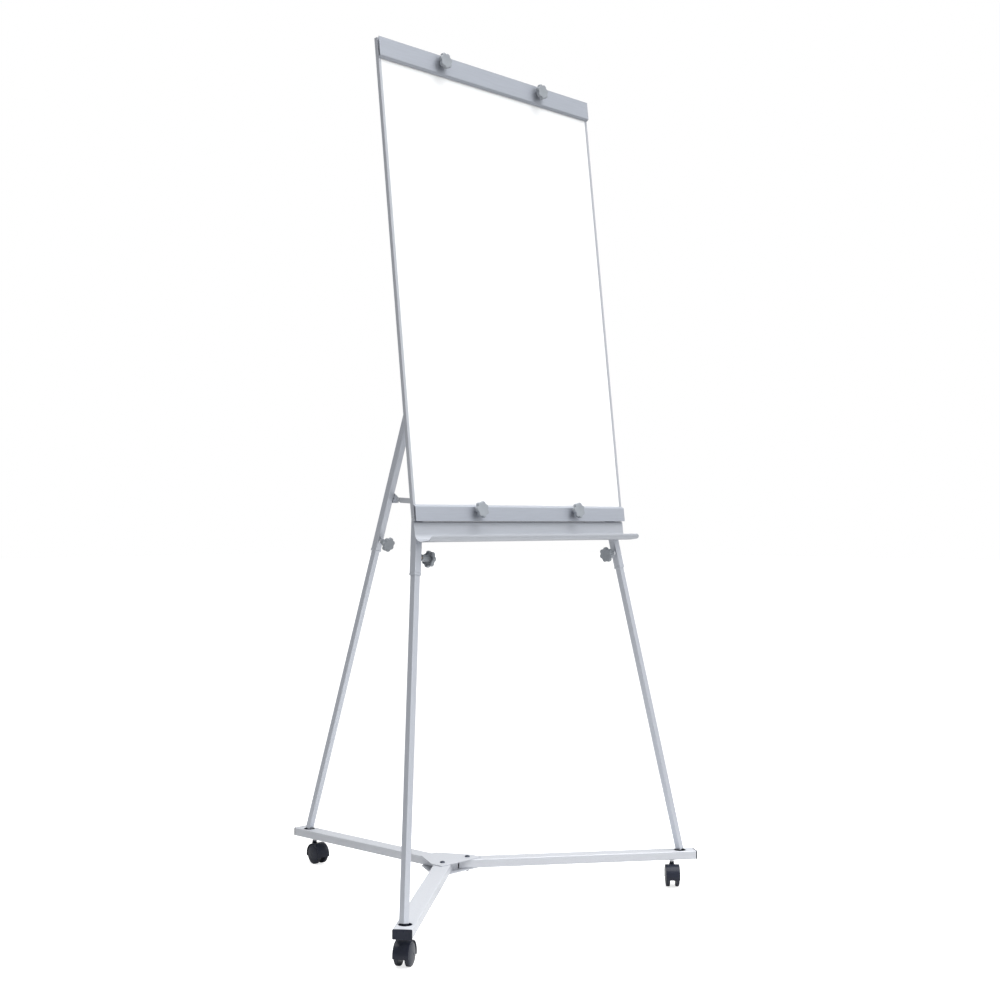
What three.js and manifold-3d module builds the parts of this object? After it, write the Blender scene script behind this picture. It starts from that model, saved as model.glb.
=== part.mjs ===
// Mobile flipchart easel: a white board with two clamp bars and a pen tray on three
// telescopic legs, standing in a three-armed folding base on twin-wheel casters.
// Millimetres, +Z up. The board faces -Y, +X is to the right of someone facing it, and
// the origin is on the floor under the middle of the whole easel.
import * as THREE from "three";
import { mergeVertices } from "three/addons/utils/BufferGeometryUtils.js";
import Module from "manifold-3d";

const wasm = await Module();
wasm.setup();

// ---------------------------------------------------------------- driving dimensions

const GAP = 0.3; // air left between two pieces that touch

// Board and its two clamp bars, measured in the plane of the board
const BOARD_WIDTH = 700;
const BOARD_HEIGHT = 1053;
const BOARD_TILT = THREE.MathUtils.degToRad(6.46); // how far the top leans back
const BOARD_FOOT_Z = 886.3; // lowest front edge of the bottom clamp bar
const FRAME_FRONT = 6.3; // front lips of the frame, behind the front of the clamp bars
const FRAME_BACK = 15.8;
const FRAME_LIP = 7;
const FRAME_WALL = 1.2;
const TOP_BAR_HEIGHT = 43;
const BOTTOM_BAR_HEIGHT = 32;
const KNOB_HALF_SPACING = 163;
const TOP_KNOB_DROP = 17; // knob centre below the top edge
const BOTTOM_KNOB_RISE = 24;
const CLAMP_KNOB_REACH = 17.9; // knob face in front of the clamp bar

// Base: two swinging front arms and one fixed rear arm, all of one flat tube
const ARM_WIDTH = 40;
const ARM_HEIGHT = 20;
const ARM_WALL = 1.6;
const ARM_UNDERSIDE = 64;
const ARM_TOP = ARM_UNDERSIDE + ARM_HEIGHT;
const ARM_SWEEP = THREE.MathUtils.degToRad(37.3); // front arms, forward of +X and -X
const ARM_REACH = 563; // pivot to the outer end of a front arm
const REAR_REACH = 574.4; // pivot line to the rear end of the base
const ARM_TAIL = 22; // front arm behind its own pivot
const PIVOT_HALF_SPACING = 41.5;
const FOOT_INSET = 38; // leg foot to the end of its arm
const CASTER_INSET = 59; // caster stem to the end of its arm
const CAP_THICKNESS = 3;
const SOCKET_RADIUS = 14.5;
const HUB_PLATE = 2.2;

// Front to back, the whole easel is centred on the origin.
const FRONT_DEPTH = ARM_REACH * Math.sin(ARM_SWEEP) + (ARM_WIDTH / 2) * Math.cos(ARM_SWEEP);
const PIVOT_Y = (FRONT_DEPTH - REAR_REACH) / 2;
const REAR_ARM_START = 33.4; // behind the pivot line, clear of the swinging arms

// Legs: a square tube that slides in a wider one
const OUTER_TUBE = 18;
const OUTER_WALL = 1.2;
const INNER_TUBE = 15;
const INNER_WALL = 1;
const TUBE_OVERLAP = 260; // inner tube hidden in the outer one
const FOOT_DEPTH = 4; // foot below the top of the arm
const FOOT_SLACK = 2.8; // a front foot leans this far back in its seat, across the arm
const FRONT_LEG_TOP = new THREE.Vector3(153, PIVOT_Y - 74.6, 1880); // of the right leg
const FRONT_OUTER_START = 709.8; // lower end of the outer tube, along the leg
const REAR_LEG_LEAN = THREE.MathUtils.degToRad(19.38);
const REAR_OUTER_START = 777;
const REAR_HINGE_AT = 1856.5; // hinge pin, along the rear leg
const REAR_LEG_TOP = REAR_HINGE_AT + 8;
const FRONT_CLAMP_RISE = 35; // leg clamp above the lower end of the outer tube
const REAR_CLAMP_RISE = 25.6;
const CLAMP_BOSS = 5;
const LEG_KNOB_REACH = 43; // knob face to the middle of the leg

// Spreader strap between the cross rail and the rear leg
const STRAP_NEAR = 12.8; // faces of the strap, to the right of the rear leg
const STRAP_FAR = 15.3;
const STRAP_HEIGHT = 13;
const STRAP_FRONT = new THREE.Vector2(46, 34.6); // its front pin, in the board's own y and z
const HOOK_PIN_AT = 913.7; // its rear pin, along the rear leg
const HOOK_PIN_OUT = 21; // and in front of the middle of the leg
const HOOK_LEAN = THREE.MathUtils.degToRad(28); // way out of the hook, forward of straight down

// Casters
const WHEEL_RADIUS = 25;
const WHEEL_INNER_X = 6.8;
const WHEEL_OUTER_X = 18.2;
const CASTER_TRAIL = 15;
const HOOD_RADIUS = 27.6;
const HOOD_INNER_RADIUS = 25.7;
const HOOD_HALF_WIDTH = 17;
const CASTER_BOSS_TOP = 57;
const CASTER_BOSS_RADIUS = 5.6;
const AXLE_RADIUS = 3;

// ------------------------------------------------------------------------ materials

const metal = (color, roughness) =>
  new THREE.MeshStandardMaterial({ color, roughness, metalness: 0.8 });
const plastic = (color, roughness) =>
  new THREE.MeshStandardMaterial({ color, roughness, metalness: 0 });

const silverPaint = metal(0xc9cdd4, 0.45);
const anodised = metal(0xb4bac3, 0.4);
const zinc = metal(0xc4c8cc, 0.3);
const darkSteel = metal(0x3a4254, 0.4);
const whiteBoard = plastic(0xfafafa, 0.15);
const greyPlastic = plastic(0x9fa4aa, 0.5);
const blackPlastic = plastic(0x2a303c, 0.45);
const knobPlastic = plastic(0x9ea3a9, 0.4);

// -------------------------------------------------------------------- shape helpers

function toSolid(geometry) {
  const bare = geometry.clone();
  bare.deleteAttribute("normal");
  bare.deleteAttribute("uv");
  const merged = mergeVertices(bare, 1e-4);
  const vertProperties = new Float32Array(merged.attributes.position.array);
  const triVerts = new Uint32Array(merged.index.array);
  return new wasm.Manifold(new wasm.Mesh({ numProp: 3, vertProperties, triVerts }));
}

function toGeometry(solid) {
  const mesh = solid.getMesh();
  const geometry = new THREE.BufferGeometry();
  geometry.setAttribute("position", new THREE.BufferAttribute(mesh.vertProperties, 3));
  geometry.setIndex(new THREE.BufferAttribute(mesh.triVerts, 1));
  return geometry.toNonIndexed();
}

const join = (first, ...rest) =>
  toGeometry(rest.reduce((sum, piece) => sum.add(toSolid(piece)), toSolid(first)));

const cut = (first, ...rest) =>
  toGeometry(rest.reduce((sum, piece) => sum.subtract(toSolid(piece)), toSolid(first)));

// A box from its lowest to its highest corner.
function block(low, high) {
  const size = high.map((value, axis) => value - low[axis]);
  const middle = high.map((value, axis) => (value + low[axis]) / 2);
  return new THREE.BoxGeometry(...size).translate(...middle);
}

// A cylinder along an axis ("x", "y" or "z"), from one place on that axis to another.
function rod(axis, radius, from, to, across = [0, 0], sides = 16) {
  const geometry = new THREE.CylinderGeometry(radius, radius, to - from, sides);
  const middle = (from + to) / 2;
  if (axis === "x") return geometry.rotateZ(Math.PI / 2).translate(middle, ...across);
  if (axis === "y") return geometry.translate(across[0], middle, across[1]);
  return geometry.rotateX(Math.PI / 2).translate(...across, middle);
}

function polygon(points) {
  return new THREE.Shape(points.map(([x, y]) => new THREE.Vector2(x, y)));
}

function roundedRectangle(width, height, radius) {
  const shape = new THREE.Shape();
  const x = width / 2 - radius;
  const y = height / 2 - radius;
  shape.absarc(x, y, radius, 0, Math.PI / 2);
  shape.absarc(-x, y, radius, Math.PI / 2, Math.PI);
  shape.absarc(-x, -y, radius, Math.PI, Math.PI * 1.5);
  shape.absarc(x, -y, radius, Math.PI * 1.5, Math.PI * 2);
  return shape;
}

// A shape in the XY plane, made thick along +Z.
function thicken(shape, depth, curveSegments = 3) {
  return new THREE.ExtrudeGeometry(shape, { depth, bevelEnabled: false, curveSegments });
}

// A shape drawn as (y, z), made thick along X between two places.
function thickenAlongX(shape, fromX, toX, curveSegments = 3) {
  const geometry = thicken(shape, toX - fromX, curveSegments);
  const yzToX = new THREE.Matrix4().makeBasis(
    new THREE.Vector3(0, 1, 0),
    new THREE.Vector3(0, 0, 1),
    new THREE.Vector3(1, 0, 0),
  );
  return geometry.applyMatrix4(yzToX).translate(fromX, 0, 0);
}

// A hollow rectangular tube along +Z.
function tube(width, height, wall, corner, from, to) {
  const shape = roundedRectangle(width, height, corner);
  const inside = Math.max(corner - wall, 0.5);
  shape.holes.push(roundedRectangle(width - 2 * wall, height - 2 * wall, inside));
  return thicken(shape, to - from, 2).translate(0, 0, from);
}

function addMesh(parent, name, geometry, material) {
  const mesh = new THREE.Mesh(geometry, material);
  mesh.name = name;
  parent.add(mesh);
  return mesh;
}

// ----------------------------------------------------------------------------- knob

// A seven-lobed clamping knob on its stud. Its axis is Z: the face is at z = 0, and the
// hub and the stud point along -Z.
function knobGeometry(hubLength, studEnd) {
  const lobes = 7;
  const discThickness = 8.5;
  const outline = [];
  const steps = lobes * 6;
  for (let i = 0; i < steps; i++) {
    const angle = (i / steps) * Math.PI * 2;
    const radius = 16.6 + 1.9 * Math.cos(lobes * angle);
    outline.push([radius * Math.cos(angle), radius * Math.sin(angle)]);
  }
  const disc = thicken(polygon(outline), discThickness).translate(0, 0, -discThickness);
  const hub = rod("z", 7, -discThickness - hubLength, -discThickness + 1);
  const stud = rod("z", 2.7, -studEnd, -discThickness, [0, 0], 12);
  return join(disc, hub, stud);
}

// ----------------------------------------------------------------------------- base

// A flat tube lying along +Y from one end to the other, centred under ARM_TOP.
function armTube(from, to) {
  const geometry = tube(ARM_WIDTH, ARM_HEIGHT, ARM_WALL, 2, from, to);
  return geometry.rotateX(-Math.PI / 2).translate(0, 0, ARM_UNDERSIDE + ARM_HEIGHT / 2);
}

function armWithHoles(from, to, footAt, casterAt) {
  const middle = ARM_UNDERSIDE + ARM_HEIGHT / 2;
  const socket = rod("z", SOCKET_RADIUS, middle, ARM_TOP + 5, [0, footAt], 32);
  const stemHole = rod("z", 4.6, ARM_UNDERSIDE - 5, middle, [0, casterAt]);
  return cut(armTube(from, to), socket, stemHole);
}

function endCap(end) {
  const middle = ARM_UNDERSIDE + ARM_HEIGHT / 2;
  const plugX = ARM_WIDTH / 2 - ARM_WALL - 2 * GAP;
  const plugZ = ARM_HEIGHT / 2 - ARM_WALL - 2 * GAP;
  const plate = thicken(roundedRectangle(ARM_WIDTH, ARM_HEIGHT, 2), CAP_THICKNESS - GAP, 2)
    .rotateX(-Math.PI / 2)
    .translate(0, end - CAP_THICKNESS + GAP, middle);
  const plug = block(
    [-plugX, end - 12, middle - plugZ],
    [plugX, end - CAP_THICKNESS + 1, middle + plugZ],
  );
  return join(plate, plug);
}

// The plastic cup in the top of an arm that a leg stands in.
function legSeat(footAt) {
  const floor = ARM_TOP - FOOT_DEPTH - 2.5;
  const outside = SOCKET_RADIUS - GAP;
  const inside = outside - 1;
  const profile = [
    [0, floor - 1.2],
    [outside, floor - 1.2],
    [outside, ARM_TOP],
    [inside, ARM_TOP],
    [inside, floor],
    [0, floor],
  ].map(([radius, height]) => new THREE.Vector2(radius, height));
  return new THREE.LatheGeometry(profile, 32).rotateX(Math.PI / 2).translate(0, footAt, 0);
}

// The steel stem of a caster: a collar with a flange under the arm, and a pin up into the
// arm and down into the caster's boss.
function casterStem(casterAt) {
  const top = ARM_UNDERSIDE - GAP;
  const collar = rod("z", CASTER_BOSS_RADIUS, CASTER_BOSS_TOP + GAP, top, [0, casterAt], 20);
  const flange = rod("z", 6.6, top - 1.8, top, [0, casterAt], 20);
  const pin = rod("z", 4, 49.8, ARM_UNDERSIDE + 9, [0, casterAt], 12);
  return join(collar, flange, pin);
}

// One arm with what is fixed to it. The arm lies along the group's +Y from its pivot.
function addArm(parent, side, from, end) {
  const footAt = end - FOOT_INSET;
  const casterAt = end - CASTER_INSET;
  let arm = armWithHoles(from, end - CAP_THICKNESS, footAt, casterAt);
  if (from < 0) arm = cut(arm, rod("z", 4.6, ARM_UNDERSIDE - 5, ARM_TOP + 5));
  addMesh(parent, `${side}_arm`, arm, silverPaint);
  addMesh(parent, `${side}_arm_cap`, endCap(end), blackPlastic);
  addMesh(parent, `${side}_leg_seat`, legSeat(footAt), blackPlastic);
  addMesh(parent, `${side}_caster_stem`, casterStem(casterAt), zinc);
}

function hubOutline() {
  return polygon([
    [-66, -21.6],
    [66, -21.6],
    [66, 11.4],
    [24, 89.4],
    [-24, 89.4],
    [-66, 11.4],
  ]);
}

function boltHoles(from, to) {
  return [-1, 1].map((side) => rod("z", 4.4, from, to, [side * PIVOT_HALF_SPACING, 0]));
}

function topPlate() {
  const bottom = ARM_TOP + GAP;
  const plate = thicken(hubOutline(), HUB_PLATE).translate(0, 0, bottom);
  return cut(plate, ...boltHoles(bottom - 5, bottom + 8));
}

// The bottom plate has a tab bent up between the arms, which keeps the plates apart.
function bottomPlate() {
  const top = ARM_UNDERSIDE - GAP;
  const plate = thicken(hubOutline(), HUB_PLATE).translate(0, 0, top - HUB_PLATE);
  const tab = block([-10.5, 0, top - 1], [10.5, 2.5, ARM_TOP]);
  return cut(join(plate, tab), ...boltHoles(top - 8, top + 5));
}

function pivotBolt(x) {
  const seat = ARM_TOP + GAP + HUB_PLATE + GAP;
  const shank = rod("z", 4, 53.5, seat + 1, [x, 0]);
  const head = rod("z", 6, seat, seat + 3, [x, 0], 20);
  return join(shank, head);
}

function pivotNut(x) {
  const top = ARM_UNDERSIDE - GAP - HUB_PLATE - GAP;
  return cut(rod("z", 7.5, top - 5, top, [x, 0], 6), rod("z", 4.3, top - 8, top + 3, [x, 0]));
}

function base() {
  const group = new THREE.Group();
  group.position.y = PIVOT_Y;
  addMesh(group, "hub_top_plate", topPlate(), silverPaint);
  addMesh(group, "hub_bottom_plate", bottomPlate(), silverPaint);
  addArm(group, "rear", REAR_ARM_START, REAR_REACH);
  for (const [side, sign] of [["left", -1], ["right", 1]]) {
    const x = sign * PIVOT_HALF_SPACING;
    addMesh(group, `${side}_pivot_bolt`, pivotBolt(x), darkSteel);
    addMesh(group, `${side}_pivot_nut`, pivotNut(x), zinc);
    const arm = new THREE.Group();
    arm.position.x = x;
    arm.rotation.z = -sign * (Math.PI / 2 + ARM_SWEEP);
    addArm(arm, side, -ARM_TAIL, ARM_REACH);
    group.add(arm);
  }
  return group;
}

// Where an arm's foot socket or caster stem is, seen from above.
function alongArm(sign, distance) {
  if (sign === 0) return new THREE.Vector2(0, PIVOT_Y + distance);
  return new THREE.Vector2(
    sign * (PIVOT_HALF_SPACING + distance * Math.cos(ARM_SWEEP)),
    PIVOT_Y - distance * Math.sin(ARM_SWEEP),
  );
}

// -------------------------------------------------------------------------- casters

// The hood in the caster's own frame: swivel axis at x = y = 0, wheels behind it at +Y.
function casterHood() {
  const arcSteps = 14;
  const from = THREE.MathUtils.degToRad(-12);
  const to = THREE.MathUtils.degToRad(196);
  const sector = [];
  for (let i = 0; i <= arcSteps; i++) {
    const angle = from + ((to - from) * i) / arcSteps;
    const spot = [Math.cos(angle), Math.sin(angle)];
    sector.push([CASTER_TRAIL + HOOD_RADIUS * spot[0], WHEEL_RADIUS + HOOD_RADIUS * spot[1]]);
  }
  const filled = thickenAlongX(polygon(sector), -HOOD_HALF_WIDTH, HOOD_HALF_WIDTH);
  const axle = [CASTER_TRAIL, WHEEL_RADIUS];
  const wheelSpaces = [-1, 1].map((side) => {
    const [near, far] = [3.6 * side, 30 * side].sort((a, b) => a - b);
    return rod("x", HOOD_INNER_RADIUS, near, far, axle, 40);
  });
  const boss = rod("z", CASTER_BOSS_RADIUS, WHEEL_RADIUS, CASTER_BOSS_TOP, [0, 0], 20);
  const shell = cut(join(filled, boss), ...wheelSpaces, rod("z", 4.6, 49, 70, [0, 0], 16));
  const hub = rod("x", 8, -3.6, 3.6, axle, 20);
  return join(shell, hub, rod("x", AXLE_RADIUS, -15, 15, axle, 12));
}

function casterWheel(side) {
  const profile = [
    [0, WHEEL_OUTER_X],
    [9, WHEEL_OUTER_X - 0.2],
    [16, WHEEL_OUTER_X - 0.9],
    [21.5, WHEEL_OUTER_X - 2.1],
    [WHEEL_RADIUS, WHEEL_OUTER_X - 4],
    [WHEEL_RADIUS, WHEEL_INNER_X + 1.5],
    [WHEEL_RADIUS - 1.5, WHEEL_INNER_X],
    [AXLE_RADIUS + 0.3, WHEEL_INNER_X],
    [AXLE_RADIUS + 0.3, 15.3],
    [0, 15.3],
  ].map(([radius, x]) => new THREE.Vector2(radius, x));
  const wheel = new THREE.LatheGeometry(profile.reverse(), 28);
  wheel.rotateZ(side > 0 ? -Math.PI / 2 : Math.PI / 2);
  return wheel.translate(0, CASTER_TRAIL, WHEEL_RADIUS);
}

// trailAngle is where the wheels trail to, seen from above and counted from +X.
function caster(name, place, trailAngle) {
  const group = new THREE.Group();
  group.position.set(place.x, place.y, 0);
  group.rotation.z = THREE.MathUtils.degToRad(trailAngle - 90);
  addMesh(group, `${name}_caster_hood`, casterHood(), blackPlastic);
  addMesh(group, `${name}_caster_wheel_a`, casterWheel(1), blackPlastic);
  addMesh(group, `${name}_caster_wheel_b`, casterWheel(-1), blackPlastic);
  return group;
}

// ----------------------------------------------------------------------------- legs

// A frame with its origin where a leg meets the top of its arm, +Z up the leg, and +X
// as near as possible to a given direction.
function legFrame(foot, up, across) {
  const z = up.clone().normalize();
  const x = across.clone().addScaledVector(z, -across.dot(z)).normalize();
  const y = new THREE.Vector3().crossVectors(z, x);
  const group = new THREE.Group();
  group.position.copy(foot);
  group.quaternion.setFromRotationMatrix(new THREE.Matrix4().makeBasis(x, y, z));
  return group;
}

function outerTube(from, to, clampDirection, height, holes) {
  const body = tube(OUTER_TUBE, OUTER_TUBE, OUTER_WALL, 1.8, from, to);
  const face = OUTER_TUBE / 2;
  const spans = [face - 0.8, face + CLAMP_BOSS, [0, height]];
  const hole = [3, face + 10, [0, height]];
  if (clampDirection === "x") {
    const boss = rod("x", 6, ...spans);
    return cut(join(body, boss), rod("x", 3.4, ...hole), ...holes);
  }
  const [near, far] = [-face - CLAMP_BOSS, -face + 0.8];
  const boss = rod("y", 6, near, far, [0, height]);
  return cut(join(body, boss), rod("y", 3.4, -face - 10, -3, [0, height]), ...holes);
}

function collar(end) {
  const outside = roundedRectangle(OUTER_TUBE + 1.2, OUTER_TUBE + 1.2, 2.2);
  outside.holes.push(roundedRectangle(INNER_TUBE + 0.6, INNER_TUBE + 0.6, 1.2));
  return thicken(outside, 5, 2).translate(0, 0, end - 5 - GAP);
}

function footPlug() {
  const shoe = thicken(roundedRectangle(INNER_TUBE, INNER_TUBE, 1.5), 1.4, 2);
  const spigotSize = INNER_TUBE - 2 * INNER_WALL - 2 * GAP;
  const spigot = thicken(roundedRectangle(spigotSize, spigotSize, 1), 11, 2);
  return join(shoe, spigot.translate(0, 0, 1), rod("z", 6.5, -FOOT_DEPTH, 0.5, [0, 0], 20));
}

// One leg in its own frame. The clamp knob's axis is +X or -Y of that frame.
function addLeg(parent, name, outerStart, top, knobDirection, clampRise, holes = []) {
  const innerEnd = outerStart + TUBE_OVERLAP;
  const height = outerStart + clampRise;
  const outer = outerTube(outerStart, top, knobDirection, height, holes);
  const inner = tube(INNER_TUBE, INNER_TUBE, INNER_WALL, 1.5, 1.4 + GAP, innerEnd);
  addMesh(parent, `${name}_leg_upper`, outer, silverPaint);
  addMesh(parent, `${name}_leg_lower`, inner, silverPaint);
  addMesh(parent, `${name}_leg_collar`, collar(outerStart), greyPlastic);
  addMesh(parent, `${name}_leg_foot`, footPlug(), blackPlastic);
  const knob = addMesh(
    parent,
    `${name}_leg_knob`,
    knobGeometry(19.2, LEG_KNOB_REACH - INNER_TUBE / 2 - GAP),
    knobPlastic,
  );
  if (knobDirection === "x") {
    knob.rotation.y = Math.PI / 2;
    knob.position.set(LEG_KNOB_REACH, 0, height);
  } else {
    knob.rotation.x = Math.PI / 2;
    knob.position.set(0, -LEG_KNOB_REACH, height);
  }
}

function frontLeg(side, sign) {
  const spot = alongArm(sign, ARM_REACH - FOOT_INSET);
  spot.x += sign * FOOT_SLACK * Math.sin(ARM_SWEEP);
  spot.y += FOOT_SLACK * Math.cos(ARM_SWEEP);
  const foot = new THREE.Vector3(spot.x, spot.y, ARM_TOP);
  const up = FRONT_LEG_TOP.clone();
  up.x *= sign;
  up.sub(foot);
  const group = legFrame(foot, up, new THREE.Vector3(-sign, 0, 0));
  addLeg(group, side, FRONT_OUTER_START, up.length(), "x", FRONT_CLAMP_RISE);
  return group;
}

function rearLeg() {
  const foot = new THREE.Vector3(0, PIVOT_Y + REAR_REACH - FOOT_INSET, ARM_TOP);
  const up = new THREE.Vector3(0, -Math.sin(REAR_LEG_LEAN), Math.cos(REAR_LEG_LEAN));
  const group = legFrame(foot, up, new THREE.Vector3(1, 0, 0));
  const pinHole = rod("x", 3.3, -20, 20, [0, REAR_HINGE_AT]);
  addLeg(group, "rear", REAR_OUTER_START, REAR_LEG_TOP, "y", REAR_CLAMP_RISE, [pinHole]);
  addMesh(group, "spreader_hook_pin", hookPin(), zinc);
  return group;
}

// A plate on the right face of the rear leg, with the pin that the strap hooks over.
function hookPin() {
  const plate = thickenAlongX(
    polygon([
      [-HOOK_PIN_OUT - 6, HOOK_PIN_AT - 6],
      [-OUTER_TUBE / 2, HOOK_PIN_AT - 12],
      [7, HOOK_PIN_AT - 12],
      [7, HOOK_PIN_AT + 12],
      [-OUTER_TUBE / 2, HOOK_PIN_AT + 12],
      [-HOOK_PIN_OUT - 6, HOOK_PIN_AT + 6],
    ]),
    OUTER_TUBE / 2 + GAP,
    STRAP_NEAR - 0.5,
  );
  const across = [-HOOK_PIN_OUT, HOOK_PIN_AT];
  const shank = rod("x", 2.4, STRAP_NEAR - 1, STRAP_FAR + 1, across, 12);
  const head = rod("x", 4.4, STRAP_FAR + GAP, STRAP_FAR + 2, across);
  const screws = [-7, 7].map((rise) =>
    rod("x", 3, STRAP_NEAR - 1, STRAP_NEAR + 1, [0, HOOK_PIN_AT + rise], 12),
  );
  return join(plate, shank, head, ...screws);
}

// ---------------------------------------------------------------------------- board

// The board's own frame: x across, z up the board from the bottom edge of the bottom
// clamp bar, y backwards from the front face of the clamp bars.

// Cross-section of the frame as (y, z), with the open side towards +z: a channel that
// holds the edge of the panel.
function frameChannel() {
  const inset = FRAME_WALL;
  return polygon([
    [FRAME_FRONT, 0],
    [FRAME_BACK, 0],
    [FRAME_BACK, FRAME_LIP + 4],
    [FRAME_BACK - inset, FRAME_LIP + 4],
    [FRAME_BACK - inset, inset],
    [FRAME_FRONT + inset, inset],
    [FRAME_FRONT + inset, FRAME_LIP],
    [FRAME_FRONT, FRAME_LIP],
  ]);
}

function sideRail(sign) {
  const rail = thickenAlongX(frameChannel(), 0.5, BOARD_HEIGHT - 0.5);
  // Lay the channel's length up the board, with its open side towards the middle.
  rail.applyMatrix4(
    new THREE.Matrix4().makeBasis(
      new THREE.Vector3(0, 0, 1),
      new THREE.Vector3(0, 1, 0),
      new THREE.Vector3(-1, 0, 0),
    ),
  );
  rail.translate(BOARD_WIDTH / 2, 0, 0);
  return sign > 0 ? rail : mirrorX(rail);
}

function mirrorX(geometry) {
  const mirrored = geometry.clone();
  mirrored.scale(-1, 1, 1);
  const position = mirrored.attributes.position;
  for (let i = 0; i < position.count; i += 3) {
    for (let axis = 0; axis < 3; axis++) {
      const kept = position.getComponent(i + 1, axis);
      position.setComponent(i + 1, axis, position.getComponent(i + 2, axis));
      position.setComponent(i + 2, axis, kept);
    }
  }
  return mirrored;
}

function endRail(top) {
  const half = BOARD_WIDTH / 2 - FRAME_LIP - 4 - GAP;
  const rail = thickenAlongX(frameChannel(), -half, half);
  if (!top) return rail.translate(0, 0, 0.5);
  const turned = rail.scale(1, 1, -1).scale(-1, 1, 1);
  return turned.translate(0, 0, BOARD_HEIGHT - 0.5);
}

function knobHeights() {
  return [BOARD_HEIGHT - TOP_KNOB_DROP, BOTTOM_KNOB_RISE];
}

function knobHoles(radius, from, to, heights = knobHeights()) {
  return heights.flatMap((height) =>
    [-1, 1].map((side) => rod("y", radius, from, to, [side * KNOB_HALF_SPACING, height])),
  );
}

// A panel held by the frame, with its writing face a little proud between the frame's
// lips and the two clamp bars.
function panel() {
  const edge = FRAME_WALL + GAP + 0.5;
  const half = BOARD_WIDTH / 2 - edge;
  const front = FRAME_FRONT + FRAME_WALL + GAP;
  const sheet = block(
    [-half, front, edge],
    [half, FRAME_BACK - FRAME_WALL - GAP, BOARD_HEIGHT - edge],
  );
  const faceHalf = BOARD_WIDTH / 2 - FRAME_LIP - GAP;
  const face = block(
    [-faceHalf, front - GAP, BOTTOM_BAR_HEIGHT + 5],
    [faceHalf, front + 1, BOARD_HEIGHT - TOP_BAR_HEIGHT - 5],
  );
  return cut(join(sheet, face), ...knobHoles(3.6, 0, 30));
}

// A clamp bar: a flat bar with one edge bent back to grip the paper.
function clampBar(height, gripEdge) {
  const wall = 1.6;
  const back = FRAME_FRONT - GAP;
  const grip = gripEdge === "lower" ? 1 : -1;
  const outline = [
    [0, 0],
    [back - 0.4, -4],
    [back, -2.6],
    [wall, 0.8],
    [wall, height],
    [0, height],
  ];
  const points = grip > 0 ? outline : outline.map(([y, z]) => [y, height - z]).reverse();
  return thickenAlongX(polygon(points), -BOARD_WIDTH / 2, BOARD_WIDTH / 2);
}

// The pen tray: a return under the frame, a flange down, a large round bend into the
// floor, and a smaller bend up into a low lip at the front.
const TRAY = { flange: 9.5, sheet: 1.5, bottom: -46, backBend: 20, frontBend: 9, lip: -39.7 };
const TRAY_LIP_TOP = -34.4;

// Points of an arc as (y, z), with both ends.
function arcPoints(y, z, radius, fromAngle, toAngle, steps) {
  const points = [];
  for (let i = 0; i <= steps; i++) {
    const angle = fromAngle + ((toAngle - fromAngle) * i) / steps;
    points.push([y + radius * Math.cos(angle), z + radius * Math.sin(angle)]);
  }
  return points;
}

function trayOutline() {
  const { flange, sheet, bottom, backBend, frontBend, lip } = TRAY;
  const backCentre = [flange - backBend, bottom + backBend];
  const frontCentre = [lip + frontBend, bottom + frontBend];
  const quarter = Math.PI / 2;
  return [
    [FRAME_BACK, -GAP],
    [flange - sheet, -GAP],
    ...arcPoints(...backCentre, backBend - sheet, 0, -quarter, 7),
    ...arcPoints(...frontCentre, frontBend - sheet, -quarter, -2 * quarter, 4),
    [lip + sheet, TRAY_LIP_TOP],
    [lip, TRAY_LIP_TOP],
    ...arcPoints(...frontCentre, frontBend, -2 * quarter, -quarter, 4),
    ...arcPoints(...backCentre, backBend, -quarter, 0, 7),
    [flange, -GAP - sheet],
    [FRAME_BACK, -GAP - sheet],
  ];
}

function penTray() {
  const half = BOARD_WIDTH / 2;
  const tray = thickenAlongX(polygon(trayOutline()), -half, half);
  const round = 9;
  const corners = [-1, 1].map((side) => {
    const spot = [side * (half - round), TRAY_LIP_TOP - round];
    const [low, high] = [spot[0], spot[0] + side * (round + 1)].sort((a, b) => a - b);
    const square = block([low, TRAY.lip - 1, spot[1]], [high, TRAY.lip + 3, TRAY_LIP_TOP + 1]);
    return cut(square, rod("y", round, TRAY.lip - 2, TRAY.lip + 4, spot, 32));
  });
  return cut(tray, ...corners);
}

// -------------------------------------------------- structure on the back of the board

const HEAD_RAIL = { half: 172, low: 950, high: 990, front: 16.1, back: 34.5 };
const CROSS_RAIL = { low: 20, high: 50, back: 36.2, halfLow: 309.4, halfHigh: 304.4 };
const HINGE = { y: 47.2, z: 960.5 }; // rear-leg hinge pin in the board's own y and z
const EAR_NEAR = OUTER_TUBE / 2 + GAP; // faces of the two ears that hold the rear leg
const EAR_FAR = EAR_NEAR + 2.5;

// A tube across the back of the board, with two ears welded on for the rear leg.
function headRail() {
  const { half, low, high, front, back } = HEAD_RAIL;
  const outside = block([-half, front, low], [half, back, high]);
  const inside = block([-half - 1, front + 2, low + 2], [half + 1, back - 2, high - 2]);
  const ear = earShape(back - 1, low + 1, low + 25, HINGE.y, HINGE.z, 8);
  const ears = [
    thickenAlongX(ear, -EAR_FAR, -EAR_NEAR, 5),
    thickenAlongX(ear, EAR_NEAR, EAR_FAR, 5),
  ];
  const hole = rod("x", 3.3, -30, 30, [HINGE.y, HINGE.z]);
  return cut(join(cut(outside, inside), ...ears), hole);
}

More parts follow.
